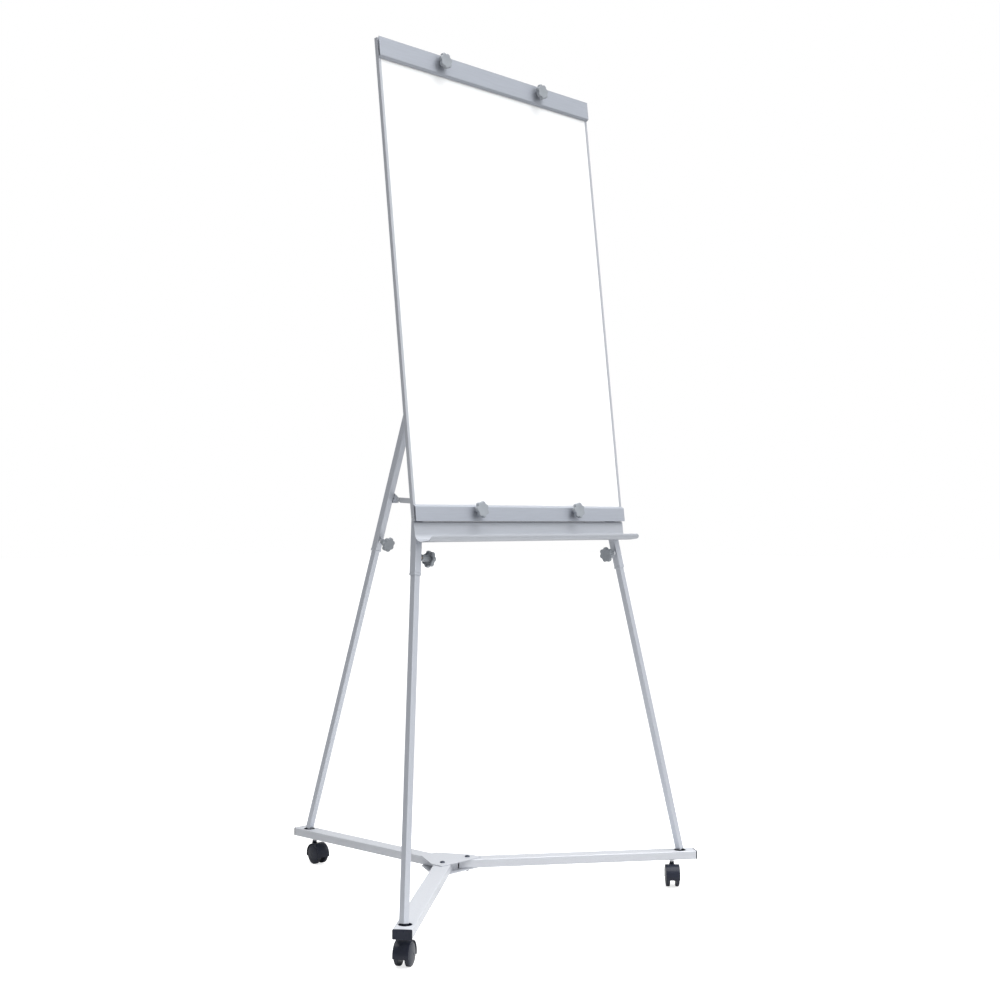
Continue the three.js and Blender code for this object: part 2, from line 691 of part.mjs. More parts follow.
function crossRail() {
  const { low, high, back, halfLow, halfHigh } = CROSS_RAIL;
  const outline = polygon([
    [-halfLow, low],
    [halfLow, low],
    [halfHigh, high],
    [-halfHigh, high],
  ]);
  const front = FRAME_BACK + 0.4;
  const solid = thicken(outline, back - front).rotateX(Math.PI / 2).translate(0, back, 0);
  const inside = block([-320, front + 1.5, low + 1.5], [320, back - 1.5, high - 1.5]);
  return cut(solid, inside);
}

// An ear with a round end, standing backwards from a plate, as (y, z).
function earShape(plateY, low, high, pinY, pinZ, radius) {
  const shape = new THREE.Shape();
  shape.moveTo(plateY, low);
  shape.lineTo(pinY, pinZ - radius);
  shape.absarc(pinY, pinZ, radius, -Math.PI / 2, Math.PI / 2);
  shape.lineTo(plateY, high);
  return shape;
}

function rearHingePin() {
  const across = [HINGE.y, HINGE.z];
  const near = EAR_FAR + GAP;
  const heads = [rod("x", 5.5, -near - 2, -near, across), rod("x", 5.5, near, near + 2, across)];
  return join(rod("x", 3, -near - 1, near + 1, across, 12), ...heads);
}

function spreaderBracket() {
  const plateFront = CROSS_RAIL.back + GAP;
  const near = STRAP_NEAR - GAP;
  const far = STRAP_FAR + GAP;
  const plate = block([near - 2.5, plateFront, 23], [far + 14, plateFront + 2, 47]);
  const ear = earShape(plateFront + 1, 24, 46, STRAP_FRONT.x, STRAP_FRONT.y, 7);
  const ears = [[near - 2.5, near], [far, far + 2.5]].map(([a, b]) => thickenAlongX(ear, a, b, 5));
  const pin = rod("x", 2.4, near - 1, far + 1, [STRAP_FRONT.x, STRAP_FRONT.y], 12);
  return join(plate, ...ears, pin);
}

// The rear leg's hook pin, in the board's own y and z.
function hookPinInBoard() {
  const down = REAR_HINGE_AT - HOOK_PIN_AT;
  const lean = REAR_LEG_LEAN + BOARD_TILT;
  return new THREE.Vector2(
    HINGE.y + down * Math.sin(lean) - HOOK_PIN_OUT * Math.cos(lean),
    HINGE.z - down * Math.cos(lean) - HOOK_PIN_OUT * Math.sin(lean),
  );
}

// The strap turns on the bracket's pin, and hooks over the rear leg's pin from above.
function spreaderStrap() {
  const along = hookPinInBoard().sub(STRAP_FRONT);
  const length = along.length();
  const slope = Math.atan2(along.y, along.x);
  const outline = new THREE.Shape();
  outline.absarc(length, 0, STRAP_HEIGHT / 2, -Math.PI / 2, Math.PI / 2);
  outline.absarc(0, 0, STRAP_HEIGHT / 2, Math.PI / 2, Math.PI * 1.5);
  const strap = thickenAlongX(outline, STRAP_NEAR, STRAP_FAR, 8);
  const slotHalf = 3.3;
  const mouth = block([STRAP_NEAR - 1, -slotHalf, -20], [STRAP_FAR + 1, slotHalf, 0])
    .rotateX(BOARD_TILT - HOOK_LEAN - slope)
    .translate(0, length, 0);
  const crown = rod("x", slotHalf, STRAP_NEAR - 1, STRAP_FAR + 1, [length, 0]);
  const pinHole = rod("x", 2.8, STRAP_NEAR - 1, STRAP_FAR + 1);
  return cut(strap, mouth, crown, pinHole)
    .rotateX(slope)
    .translate(0, STRAP_FRONT.x, STRAP_FRONT.y);
}

function board() {
  const group = new THREE.Group();
  group.position.set(0, PIVOT_Y - 234.7, BOARD_FOOT_Z);
  group.rotation.x = -BOARD_TILT;
  addMesh(group, "board_panel", panel(), whiteBoard);
  addMesh(group, "left_frame_rail", sideRail(-1), anodised);
  addMesh(group, "right_frame_rail", sideRail(1), anodised);
  addMesh(group, "top_frame_rail", endRail(true), anodised);
  addMesh(group, "bottom_frame_rail", endRail(false), anodised);
  addMesh(group, "pen_tray", penTray(), anodised);
  addMesh(group, "head_rail", headRail(), silverPaint);
  addMesh(group, "cross_rail", crossRail(), silverPaint);
  addMesh(group, "rear_hinge_pin", rearHingePin(), zinc);
  addMesh(group, "spreader_bracket", spreaderBracket(), zinc);
  addMesh(group, "spreader_strap", spreaderStrap(), silverPaint);
  const [topKnob, bottomKnob] = knobHeights();
  const bars = [
    ["top", TOP_BAR_HEIGHT, "lower", BOARD_HEIGHT - TOP_BAR_HEIGHT, topKnob],
    ["bottom", BOTTOM_BAR_HEIGHT, "upper", 0, bottomKnob],
  ];
  for (const [name, height, gripEdge, lowest, knobHeight] of bars) {
    const bar = clampBar(height, gripEdge).translate(0, 0, lowest);
    const holes = knobHoles(3.4, -5, 12, [knobHeight]);
    addMesh(group, `${name}_clamp_bar`, cut(bar, ...holes), anodised);
    for (const [side, sign] of [["left", -1], ["right", 1]]) {
      const hub = CLAMP_KNOB_REACH - 8.5 - GAP;
      const geometry = knobGeometry(hub, CLAMP_KNOB_REACH + 13);
      const knob = addMesh(group, `${name}_${side}_clamp_knob`, geometry, knobPlastic);
      knob.rotation.x = Math.PI / 2;
      knob.position.set(sign * KNOB_HALF_SPACING, -CLAMP_KNOB_REACH, knobHeight);
    }
  }
  return group;
}

// ------------------------------------------------------------------------- assembly

const easel = new THREE.Group();
const CASTER_AT = ARM_REACH - CASTER_INSET;
easel.add(base());
easel.add(caster("left", alongArm(-1, CASTER_AT), -152));
easel.add(caster("right", alongArm(1, CASTER_AT), -138));
easel.add(caster("rear", alongArm(0, REAR_REACH - CASTER_INSET), -95));
easel.add(frontLeg("left", -1));
easel.add(frontLeg("right", 1));
easel.add(rearLeg());
easel.add(board());

export default easel;
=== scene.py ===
"""A mobile flipchart easel: finish, fittings and light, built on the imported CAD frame.

Shapes are drawn in millimetres in the same local frames that the CAD uses: the board's,
each leg's, each base arm's and each caster's. A frame's matrix turns them into metres.
"""

import math

import bmesh
import bpy
from mathutils import Matrix, Vector


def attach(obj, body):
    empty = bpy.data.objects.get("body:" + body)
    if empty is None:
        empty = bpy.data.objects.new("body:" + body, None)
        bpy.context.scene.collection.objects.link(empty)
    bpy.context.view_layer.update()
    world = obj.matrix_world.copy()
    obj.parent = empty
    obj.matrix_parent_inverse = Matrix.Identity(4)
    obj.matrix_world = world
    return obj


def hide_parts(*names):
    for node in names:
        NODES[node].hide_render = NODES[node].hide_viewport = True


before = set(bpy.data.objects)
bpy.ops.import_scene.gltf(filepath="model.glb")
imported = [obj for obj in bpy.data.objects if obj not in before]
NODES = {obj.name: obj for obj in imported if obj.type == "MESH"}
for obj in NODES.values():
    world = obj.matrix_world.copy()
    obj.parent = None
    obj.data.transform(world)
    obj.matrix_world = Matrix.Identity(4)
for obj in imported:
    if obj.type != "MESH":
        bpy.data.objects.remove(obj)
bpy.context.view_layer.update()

# --------------------------------------------------------- driving dimensions, in mm

GAP = 0.3  # between pieces that slide or turn on each other

BOARD_WIDTH = 700
BOARD_HEIGHT = 1053
BOARD_TILT = math.radians(6.46)
BOARD_FOOT_Z = 886.3
BOARD_AHEAD = 234.7  # of the line through the arms' pivots
FRAME_FRONT = 6.3
FRAME_BACK = 15.8
FRAME_LIP = 7
BACKING_FRONT = 14.32
BACKING_REAR = 14.55
TOP_BAR_HEIGHT = 43
BOTTOM_BAR_HEIGHT = 32
KNOB_HALF_SPACING = 163
KNOB_HEIGHTS = {"top": BOARD_HEIGHT - 17, "bottom": 24}
KNOB_TURNS = {"top": 11, "bottom": 25}
CLAMP_KNOB_REACH = 17.9
CLAMP_STUD_BEHIND = 13

ARM_SWEEP = math.radians(37.3)
ARM_REACH = 563
REAR_REACH = 574.4
ARM_WIDTH = 40
ARM_TOP = 84
PIVOT_HALF_SPACING = 41.5
FOOT_INSET = 38
CASTER_INSET = 59
FRONT_DEPTH = ARM_REACH * math.sin(ARM_SWEEP) + ARM_WIDTH / 2 * math.cos(ARM_SWEEP)
PIVOT_Y = (FRONT_DEPTH - REAR_REACH) / 2
HUB_PLATE = 2.2
HUB_TOP = ARM_TOP + GAP + HUB_PLATE

OUTER_TUBE = 18
OUTER_WALL = 1.2
OUTER_CORNER = 2.0
INNER_TUBE = 15
INNER_WALL = 1
INNER_CORNER = 1.6
SLEEVE_LENGTH = 5
SLEEVE_RIM = 0.6
FRONT_OUTER_START = 709.8
REAR_OUTER_START = 777
FRONT_CLAMP_RISE = 35
REAR_CLAMP_RISE = 25.6
LEG_KNOB_REACH = 43
LEG_KNOB_HUB = 19.2
LEG_KNOB_TURN = 20
REAR_LEG_LEAN = math.radians(19.38)
REAR_HINGE_AT = 1856.5
REAR_TUBE_TOP = REAR_HINGE_AT + 8
FRONT_LEG_TOP = Vector((153, PIVOT_Y - 74.6, 1880))
TUBE_OVERLAP = 260
FOOT_FLANGE = 1.4
FOOT_DEPTH = 4
FOOT_SLACK = 2.8
SEAT_RADIUS = 14.2

WHEEL_RADIUS = 25
CASTER_TRAIL = 15
TRAIL_ANGLES = {"left": -152, "right": -138, "rear": -95}

SIDES = (("left", -1), ("right", 1))
MM = Matrix.Scale(0.001, 4)
SIDEWAYS = Matrix(((0, 0, 1, 0), (1, 0, 0, 0), (0, 1, 0, 0), (0, 0, 0, 1)))  # (x, y, z) to (z, x, y)
UPRIGHT = Matrix(((1, 0, 0, 0), (0, 0, 1, 0), (0, 1, 0, 0), (0, 0, 0, 1)))  # (x, y, z) to (x, z, y)

# --------------------------------------------------------------------- local frames


def arm_spot(side, distance):
    """A place along an arm's middle line, seen from above, counted from its pivot."""
    if side == "rear":
        return Vector((0, PIVOT_Y + distance, 0))
    sign = -1 if side == "left" else 1
    across = PIVOT_HALF_SPACING + distance * math.cos(ARM_SWEEP)
    return Vector((sign * across, PIVOT_Y - distance * math.sin(ARM_SWEEP), 0))


def arm_reach(side):
    return REAR_REACH if side == "rear" else ARM_REACH


def frame_matrix(x, y, z, origin):
    """The matrix of a local frame in millimetres, from its axes and its origin."""
    turn = Matrix((x, y, z)).transposed().to_4x4()
    return MM @ Matrix.Translation(origin) @ turn


def front_foot_slack(sign):
    """How far a front foot leans back in its seat, across the arm."""
    return FOOT_SLACK * Vector((sign * math.sin(ARM_SWEEP), math.cos(ARM_SWEEP), 0))


def board_matrix():
    origin = Vector((0, PIVOT_Y - BOARD_AHEAD, BOARD_FOOT_Z))
    return MM @ Matrix.Translation(origin) @ Matrix.Rotation(-BOARD_TILT, 4, "X")


def leg_matrix(side):
    foot = arm_spot(side, arm_reach(side) - FOOT_INSET)
    foot.z = ARM_TOP
    if side == "rear":
        up = Vector((0, -math.sin(REAR_LEG_LEAN), math.cos(REAR_LEG_LEAN)))
        across = Vector((1, 0, 0))
    else:
        sign = -1 if side == "left" else 1
        foot += front_foot_slack(sign)
        top = FRONT_LEG_TOP.copy()
        top.x *= sign
        up = (top - foot).normalized()
        across = Vector((-sign, 0, 0))
    x = (across - up * across.dot(up)).normalized()
    return frame_matrix(x, up.cross(x), up, foot)


def caster_matrix(side):
    origin = arm_spot(side, arm_reach(side) - CASTER_INSET)
    turn = Matrix.Rotation(math.radians(TRAIL_ANGLES[side] - 90), 4, "Z")
    return MM @ Matrix.Translation(origin) @ turn


def front_leg_length():
    foot = arm_spot("right", ARM_REACH - FOOT_INSET) + front_foot_slack(1)
    foot.z = ARM_TOP
    return (FRONT_LEG_TOP - foot).length


BOARD = board_matrix()

# ------------------------------------------------------------------ mesh construction


def ring_points(count, radius_at, height):
    """Points round the Z axis at one height; radius_at gives the radius at an angle."""
    points = []
    for i in range(count):
        angle = 2 * math.pi * i / count
        radius = radius_at(angle)
        points.append(Vector((radius * math.cos(angle), radius * math.sin(angle), height)))
    return points


def circle(radius):
    """A radius function for ring_points that is the same all round."""
    return lambda angle: radius


def add_loft(mesh, rings, closed=False):
    """Skins rings that have as many points each.

    The two end rings are capped, or joined to each other when the loft is closed.
    """
    rows = [[mesh.verts.new(point) for point in ring] for ring in rings]
    if closed:
        rows.append(rows[0])
    count = len(rows[0])
    for low, high in zip(rows, rows[1:]):
        for i in range(count):
            j = (i + 1) % count
            mesh.faces.new((low[i], low[j], high[j], high[i]))
    if not closed:
        mesh.faces.new(rows[0][::-1])
        mesh.faces.new(rows[-1])


def add_lathe(mesh, profile, segments=48, hollow=False):
    """Turns a profile of (radius, height) pairs round the Z axis.

    A hollow profile is a closed loop; any other starts and ends near the axis.
    """
    rings = [ring_points(segments, circle(radius), height) for radius, height in profile]
    add_loft(mesh, rings, closed=hollow)


def add_prism(mesh, outline, start, end, place=Matrix.Identity(4)):
    """Extrudes a closed (x, y) outline along Z, then moves it by a matrix."""
    rings = []
    for height in (start, end):
        rings.append([place @ Vector((x, y, height)) for x, y in outline])
    add_loft(mesh, rings)


def add_tube(mesh, outer, inner, start, end):
    """A hollow tube along Z between two (x, y) outlines with as many points each."""
    rings = []
    for outline, height in ((outer, start), (outer, end), (inner, end), (inner, start)):
        rings.append([Vector((x, y, height)) for x, y in outline])
    add_loft(mesh, rings, closed=True)


def add_sheet(mesh, front, back, half_width, inset=lambda y, z: 0.0):
    """A bent sheet along X: two paths of (y, z) points, one for each face of the metal.

    inset says how far a point's ends stand back from half_width.
    """

    def add_row(sign, path):
        row = []
        for y, z in path:
            x = sign * (half_width - inset(y, z))
            row.append(mesh.verts.new(Vector((x, y, z))))
        return row

    front_low = add_row(-1, front)
    back_low = add_row(-1, back)
    front_high = add_row(1, front)
    back_high = add_row(1, back)
    for i in range(len(front) - 1):
        j = i + 1
        mesh.faces.new((front_low[i], front_low[j], front_high[j], front_high[i]))
        mesh.faces.new((back_low[i], back_high[i], back_high[j], back_low[j]))
        mesh.faces.new((front_low[i], back_low[i], back_low[j], front_low[j]))
        mesh.faces.new((front_high[i], front_high[j], back_high[j], back_high[i]))
    for i in (0, len(front) - 1):
        mesh.faces.new((front_low[i], front_high[i], back_high[i], back_low[i]))


def arc(y, z, radius, start, end, steps):
    """Points of an arc, both ends included, with its angles in degrees."""
    points = []
    for i in range(steps + 1):
        angle = math.radians(start + (end - start) * i / steps)
        points.append((y + radius * math.cos(angle), z + radius * math.sin(angle)))
    return points


def rounded_square(width, radius):
    """The (x, y) outline of a square with round corners."""
    middle = width / 2 - radius
    points = []
    for sign_x, sign_y, start in ((1, 1, 0), (-1, 1, 90), (-1, -1, 180), (1, -1, 270)):
        points += arc(sign_x * middle, sign_y * middle, radius, start, start + 90, 5)
    return points


def offset_path(path, distance):
    """The same path moved sideways, to the left of its own direction."""
    moved = []
    for i, (y, z) in enumerate(path):
        before = path[max(i - 1, 0)]
        after = path[min(i + 1, len(path) - 1)]
        along = Vector((after[0] - before[0], after[1] - before[1])).normalized()
        moved.append((y - along.y * distance, z + along.x * distance))
    return moved


def soften(obj, bevel, angle=30, weld=False):
    """Rounds an object's edges a little and shades it smoothly."""
    obj.data.polygons.foreach_set("use_smooth", [True] * len(obj.data.polygons))
    if weld:
        obj.modifiers.new("weld", "WELD").merge_threshold = 1e-5
    if bevel:
        edge = obj.modifiers.new("edges", "BEVEL")
        edge.width = bevel * 0.001
        edge.segments = 2
        edge.limit_method = "ANGLE"
        edge.angle_limit = math.radians(angle)
        edge.use_clamp_overlap = True
    obj.modifiers.new("normals", "WEIGHTED_NORMAL").keep_sharp = True


def make_piece(name, mesh, matrix, material, body, bevel=0.0, sharp=35):
    """Turns a bmesh drawn in a local frame into a named piece that rides on a body."""
    mesh.transform(matrix)
    bmesh.ops.remove_doubles(mesh, verts=mesh.verts, dist=1e-7)
    bmesh.ops.recalc_face_normals(mesh, faces=mesh.faces)
    data = bpy.data.meshes.new(name)
    mesh.to_mesh(data)
    mesh.free()
    obj = bpy.data.objects.new(name, data)
    bpy.context.scene.collection.objects.link(obj)
    data.materials.append(material)
    soften(obj, bevel)
    if not bevel:
        data.set_sharp_from_angle(angle=math.radians(sharp))
    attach(obj, body)
    return obj


# -------------------------------------------------------------------------- materials


class Finish:
    """A Principled material, with short calls that add detail to it."""

    def __init__(self, name, color, metallic, roughness):
        self.material = bpy.data.materials.new(name)
        self.material.use_nodes = True
        self.tree = self.material.node_tree
        self.shader = self.tree.nodes["Principled BSDF"]
        self.color = color
        self.roughness = roughness
        self.set("Base Color", (*color, 1))
        self.set("Metallic", metallic)
        self.set("Roughness", roughness)
        self.coordinates = self.tree.nodes.new("ShaderNodeTexCoord")
        self.bumps = None

    def set(self, socket, value):
        self.shader.inputs[socket].default_value = value

    def link(self, source, target):
        self.tree.links.new(source, target)

    def noise(self, scale, detail=3.0, stretch=(1, 1, 1)):
        """Noise over the object, in features per metre, stretched along its axes."""
        mapping = self.tree.nodes.new("ShaderNodeMapping")
        mapping.inputs["Scale"].default_value = stretch
        self.link(self.coordinates.outputs["Object"], mapping.inputs["Vector"])
        noise = self.tree.nodes.new("ShaderNodeTexNoise")
        noise.inputs["Scale"].default_value = scale
        noise.inputs["Detail"].default_value = detail
        self.link(mapping.outputs["Vector"], noise.inputs["Vector"])
        return noise.outputs["Fac"]

    def between(self, factor, low, high):
        """Maps the middle of a noise to a range of numbers."""
        node = self.tree.nodes.new("ShaderNodeMapRange")
        node.inputs["From Min"].default_value = 0.3
        node.inputs["From Max"].default_value = 0.7
        node.inputs["To Min"].default_value = low
        node.inputs["To Max"].default_value = high
        self.link(factor, node.inputs["Value"])
        return node.outputs["Result"]

    def vary_color(self, factor, darker, lighter):
        """Base colour that runs from darker to lighter times its own value."""
        mix = self.tree.nodes.new("ShaderNodeMix")
        mix.data_type = "RGBA"
        mix.inputs["A"].default_value = (*[c * darker for c in self.color], 1)
        mix.inputs["B"].default_value = (*[min(c * lighter, 1) for c in self.color], 1)
        self.link(self.between(factor, 0, 1), mix.inputs["Factor"])
        self.link(mix.outputs["Result"], self.shader.inputs["Base Color"])

    def vary_roughness(self, factor, amount):
        low, high = self.roughness - amount, self.roughness + amount
        self.link(self.between(factor, low, high), self.shader.inputs["Roughness"])

    def bump(self, factor, depth_mm, strength=1.0):
        node = self.tree.nodes.new("ShaderNodeBump")
        node.inputs["Strength"].default_value = strength
        node.inputs["Distance"].default_value = depth_mm * 0.001
        self.link(factor, node.inputs["Height"])
        if self.bumps is not None:
            self.link(self.bumps, node.inputs["Normal"])
        self.bumps = node.outputs["Normal"]
        self.link(self.bumps, self.shader.inputs["Normal"])


def silver_paint(name, color, metallic, roughness):
    finish = Finish(name, color, metallic, roughness)
    finish.vary_color(finish.noise(1400, 2), 0.93, 1.07)
    finish.vary_roughness(finish.noise(260, 4), 0.06)
    finish.bump(finish.noise(700, 3), 0.05, 0.35)
    finish.set("Coat Weight", 0.15)
    finish.set("Coat Roughness", 0.25)
    return finish.material


def anodised(name, color, stretch):
    """Satin anodised aluminium with fine drawing lines along one axis."""
    finish = Finish(name, color, 0.35, 0.40)
    lines = finish.noise(900, 2, stretch)
    finish.vary_color(lines, 0.96, 1.04)
    finish.vary_roughness(finish.noise(500, 3, stretch), 0.07)
    finish.bump(lines, 0.03, 0.3)
    return finish.material


def white_enamel():
    finish = Finish("white_enamel", (0.95, 0.955, 0.96), 0.0, 0.16)
    finish.vary_color(finish.noise(3, 5), 0.985, 1.01)
    finish.vary_roughness(finish.noise(9, 6), 0.05)
    finish.bump(finish.noise(55, 2), 0.02, 0.15)
    finish.set("Coat Weight", 0.3)
    finish.set("Coat Roughness", 0.08)
    return finish.material


def board_back():
    finish = Finish("grey_backing", (0.62, 0.64, 0.66), 0.1, 0.5)
    finish.vary_color(finish.noise(400, 3), 0.96, 1.03)
    finish.bump(finish.noise(420, 2), 0.04, 0.25)
    return finish.material


def moulded(name, color, roughness, grain=900, shine=0.5):
    """Injection-moulded plastic with a fine spark-eroded grain."""
    finish = Finish(name, color, 0.0, roughness)
    finish.set("Specular IOR Level", shine)
    finish.vary_color(finish.noise(35, 4), 0.93, 1.07)
    finish.vary_roughness(finish.noise(300, 4), 0.07)
    finish.bump(finish.noise(grain, 3), 0.06, 0.35)
    return finish.material


def tread_rubber():
    finish = Finish("wheel_tread", (0.012, 0.014, 0.022), 0.0, 0.55)
    finish.vary_color(finish.noise(60, 5), 0.75, 1.5)
    finish.vary_roughness(finish.noise(160, 4), 0.12)
    finish.bump(finish.noise(800, 4), 0.08, 0.4)
    return finish.material


def bright_metal(name, color, roughness):
    finish = Finish(name, color, 1.0, roughness)
    finish.vary_color(finish.noise(120, 4), 0.9, 1.05)
    finish.vary_roughness(finish.noise(600, 3), 0.06)
    finish.bump(finish.noise(900, 2), 0.02, 0.25)
    return finish.material


SILVER = silver_paint("silver_powder_coat", (0.55, 0.565, 0.602), 0.2, 0.42)
TUBE_SILVER = silver_paint("silver_tube_lacquer", (0.58, 0.605, 0.66), 0.65, 0.36)
ANODISED_ACROSS = anodised("anodised_across", (0.41, 0.435, 0.487), (0.02, 1, 1))
# The tray's anodised aluminium is made lighter than the bars': painted light, for the floor's light
# that its bends and lip reflect.
ANODISED_TRAY_PAINTED_LIGHT = anodised("anodised_tray_painted_light", (0.475, 0.495, 0.535), (0.02, 1, 1))
# The upright rails' anodised aluminium is made lighter than the bars' as well: painted light, for
# the light falling on their faces.
ANODISED_UPRIGHT_PAINTED_LIGHT = anodised("anodised_upright_painted_light", (0.49, 0.507, 0.547), (1, 1, 0.02))
WHITE = white_enamel()
BACKING = board_back()
KNOB_GREY = moulded("knob_grey", (0.30, 0.322, 0.35), 0.42)
BLACK = moulded("charcoal_plastic", (0.010, 0.013, 0.025), 0.33, shine=0.32)
TREAD = tread_rubber()
ZINC = bright_metal("zinc_plate", (0.72, 0.73, 0.75), 0.24)
DARK_STEEL = bright_metal("blackened_steel", (0.075, 0.085, 0.11), 0.34)
BRASS = bright_metal("brass_insert", (0.80, 0.52, 0.22), 0.3)

# ------------------------------------------------------------------- CAD nodes kept


def dress_node(name, material, bevel):
    """Gives a CAD node its finish and softens its edges, without touching its shape."""
    node = NODES[name]
    node.data.materials.clear()
    node.data.materials.append(material)
    soften(node, bevel, weld=True)


KEPT_NODES = {
    "hub_top_plate": (SILVER, 0.5),
    "hub_bottom_plate": (SILVER, 0.5),
    "left_arm": (SILVER, 0.25),
    "right_arm": (SILVER, 0.25),
    "rear_arm": (SILVER, 0.25),
    "left_arm_cap": (BLACK, 0.5),
    "right_arm_cap": (BLACK, 0.5),
    "rear_arm_cap": (BLACK, 0.5),
    "left_pivot_nut": (ZINC, 0.4),
    "right_pivot_nut": (ZINC, 0.4),
    "head_rail": (SILVER, 0.6),
    "cross_rail": (SILVER, 0.5),
    "rear_hinge_pin": (ZINC, 0.4),
    "spreader_bracket": (ZINC, 0.25),
    "spreader_hook_pin": (ZINC, 0.25),
    "spreader_strap": (SILVER, 0.3),
    "board_panel": (WHITE, 0.2),
}
for node_name, (node_material, node_bevel) in KEPT_NODES.items():
    dress_node(node_name, node_material, node_bevel)

# -------------------------------------------------------------------- clamping knobs

KNOB_LOBES = 7
KNOB_STEPS = KNOB_LOBES * 14
KNOB_RADIUS = 18.4
KNOB_SCALLOP = 3.0
KNOB_THICKNESS = 8.5
THREAD_PITCH = 1.0
THREAD_RADII = (2.35, 2.7)


def knob_radius(scale, inset=0.0, soften_lobes=1.0):
    """A radius function for a lobed outline: broad lobes with narrower hollows."""

    def radius_at(angle):
        hollow = 0.5 - 0.5 * math.cos(KNOB_LOBES * angle)
        return (KNOB_RADIUS - KNOB_SCALLOP * soften_lobes * hollow**1.5) * scale - inset

    return radius_at


def add_knob_head(mesh, hub_end):
    """The plastic head: a lobed rim, hollow behind, round a hub that ends at hub_end."""
    back = -KNOB_THICKNESS
    shell = [
        (knob_radius(0.04), -0.55),
        (knob_radius(0.45, soften_lobes=0.5), -0.35),
        (knob_radius(0.70, soften_lobes=0.8), -0.1),
        (knob_radius(0.88), 0.0),
        (knob_radius(0.95), -0.35),
        (knob_radius(0.985), -1.1),
        (knob_radius(1.0), -2.2),
        (knob_radius(1.0), back + 0.9),
        (knob_radius(1.0, 0.3), back + 0.25),
        (knob_radius(1.0, 0.9), back),
        (knob_radius(1.0, 2.2), back),
        (knob_radius(1.0, 2.5), back + 0.5),
        (knob_radius(1.0, 2.8, 0.9), -3.4),
        (knob_radius(0.8, 2.8, 0.4), -3.0),
        (circle(7.9), -3.0),
        (circle(7.5), -4.0),
        (circle(7.1), hub_end + 1.0),
        (circle(6.8), hub_end + 0.3),
        (circle(6.2), hub_end),
        (circle(4.2), hub_end),
        (circle(4.2), hub_end + 1.2),
        (circle(0.5), hub_end + 1.2),
    ]
    add_loft(mesh, [ring_points(KNOB_STEPS, radius_at, height) for radius_at, height in shell])


def add_knob_insert(mesh, hub_end):
    """The brass bush that is moulded into the hub's end, round the stud."""
    profile = [
        (0.4, 1.3),
        (4.1, 1.3),
        (4.1, -0.3),
        (3.8, -0.6),
        (2.6, -0.6),
        (2.4, -0.2),
        (0.4, -0.2),
    ]
    add_lathe(mesh, [(radius, hub_end + height) for radius, height in profile], 36)


def add_stud(mesh, start, end):
    """A threaded stud from start down to end, with a chamfered tip."""
    root, crest = THREAD_RADII
    profile = [(0.3, start), (root, start)]
    turns = int((start - end - 1.2) / THREAD_PITCH)
    for i in range(turns):
        profile.append((crest, start - (i + 0.5) * THREAD_PITCH))
        profile.append((root, start - (i + 1) * THREAD_PITCH))
    profile += [(2.0, end + 0.3), (1.6, end), (0.3, end)]
    add_lathe(mesh, profile, 24)


def make_knob(name, matrix, hub_length, stud_length):
    """A seven-lobed knob with its insert and stud; its CAD node and body share its name."""
    hub_end = -KNOB_THICKNESS - hub_length
    mesh = bmesh.new()
    add_knob_head(mesh, hub_end)
    head = make_piece(f"{name}_head", mesh, matrix, KNOB_GREY, name)
    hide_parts(name)

    mesh = bmesh.new()
    add_knob_insert(mesh, hub_end)
    make_piece(f"{name}_insert", mesh, matrix, BRASS, name)

    mesh = bmesh.new()
    add_stud(mesh, hub_end + 1.0, -stud_length)
    make_piece(f"{name}_stud", mesh, matrix, ZINC, name)


def turned(matrix, x, y, z, toward):
    """A frame inside another one, whose +Z points toward "+x" or "-y" of it."""
    spin = Matrix.Rotation(math.pi / 2, 4, "Y" if toward == "+x" else "X")
    return matrix @ Matrix.Translation((x, y, z)) @ spin


def make_clamp_knob(bar, side, sign):
    place = turned(BOARD, sign * KNOB_HALF_SPACING, -CLAMP_KNOB_REACH, KNOB_HEIGHTS[bar], "-y")
    make_knob(
        f"{bar}_{side}_clamp_knob",
        place @ Matrix.Rotation(math.radians(KNOB_TURNS[bar]), 4, "Z"),
        CLAMP_KNOB_REACH - KNOB_THICKNESS - GAP,
        CLAMP_KNOB_REACH + CLAMP_STUD_BEHIND,
    )


for knob_bar in ("top", "bottom"):
    for knob_side, knob_sign in SIDES:
        make_clamp_knob(knob_bar, knob_side, knob_sign)

# ------------------------------------------------------------------------------- legs


def rivet_nut(name, matrix, body):
    """The bright threaded nut that a leg's clamp knob screws into."""
    mesh = bmesh.new()
    face = OUTER_TUBE / 2
    profile = [
        (3.4, face - 1.0),
        (5.2, face - 1.0),
        (6.0, face + 0.1),
        (6.0, face + 1.2),
        (5.4, face + 1.7),
        (4.9, face + 4.6),
        (4.4, face + 5.0),
        (3.4, face + 5.0),
    ]
    add_lathe(mesh, profile, 36, hollow=True)
    make_piece(name, mesh, matrix, ZINC, body)


def make_outer_tube(side, matrix, body, start, top):
    mesh = bmesh.new()
    outer = rounded_square(OUTER_TUBE, OUTER_CORNER)
    inner = rounded_square(OUTER_TUBE - 2 * OUTER_WALL, OUTER_CORNER - OUTER_WALL)
    add_tube(mesh, outer, inner, start, top)
    name = f"{side}_outer_tube"
    upper = make_piece(name, mesh, matrix, TUBE_SILVER, body, 0.15)
    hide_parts(f"{side}_leg_upper")


def make_inner_tube(side, matrix, body, top):
    mesh = bmesh.new()
    outer = rounded_square(INNER_TUBE, INNER_CORNER)
    inner = rounded_square(INNER_TUBE - 2 * INNER_WALL, INNER_CORNER - INNER_WALL)
    add_tube(mesh, outer, inner, FOOT_FLANGE + GAP, top)
    name = f"{side}_inner_tube"
    lower = make_piece(name, mesh, matrix, TUBE_SILVER, body, 0.15)
    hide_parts(f"{side}_leg_lower")


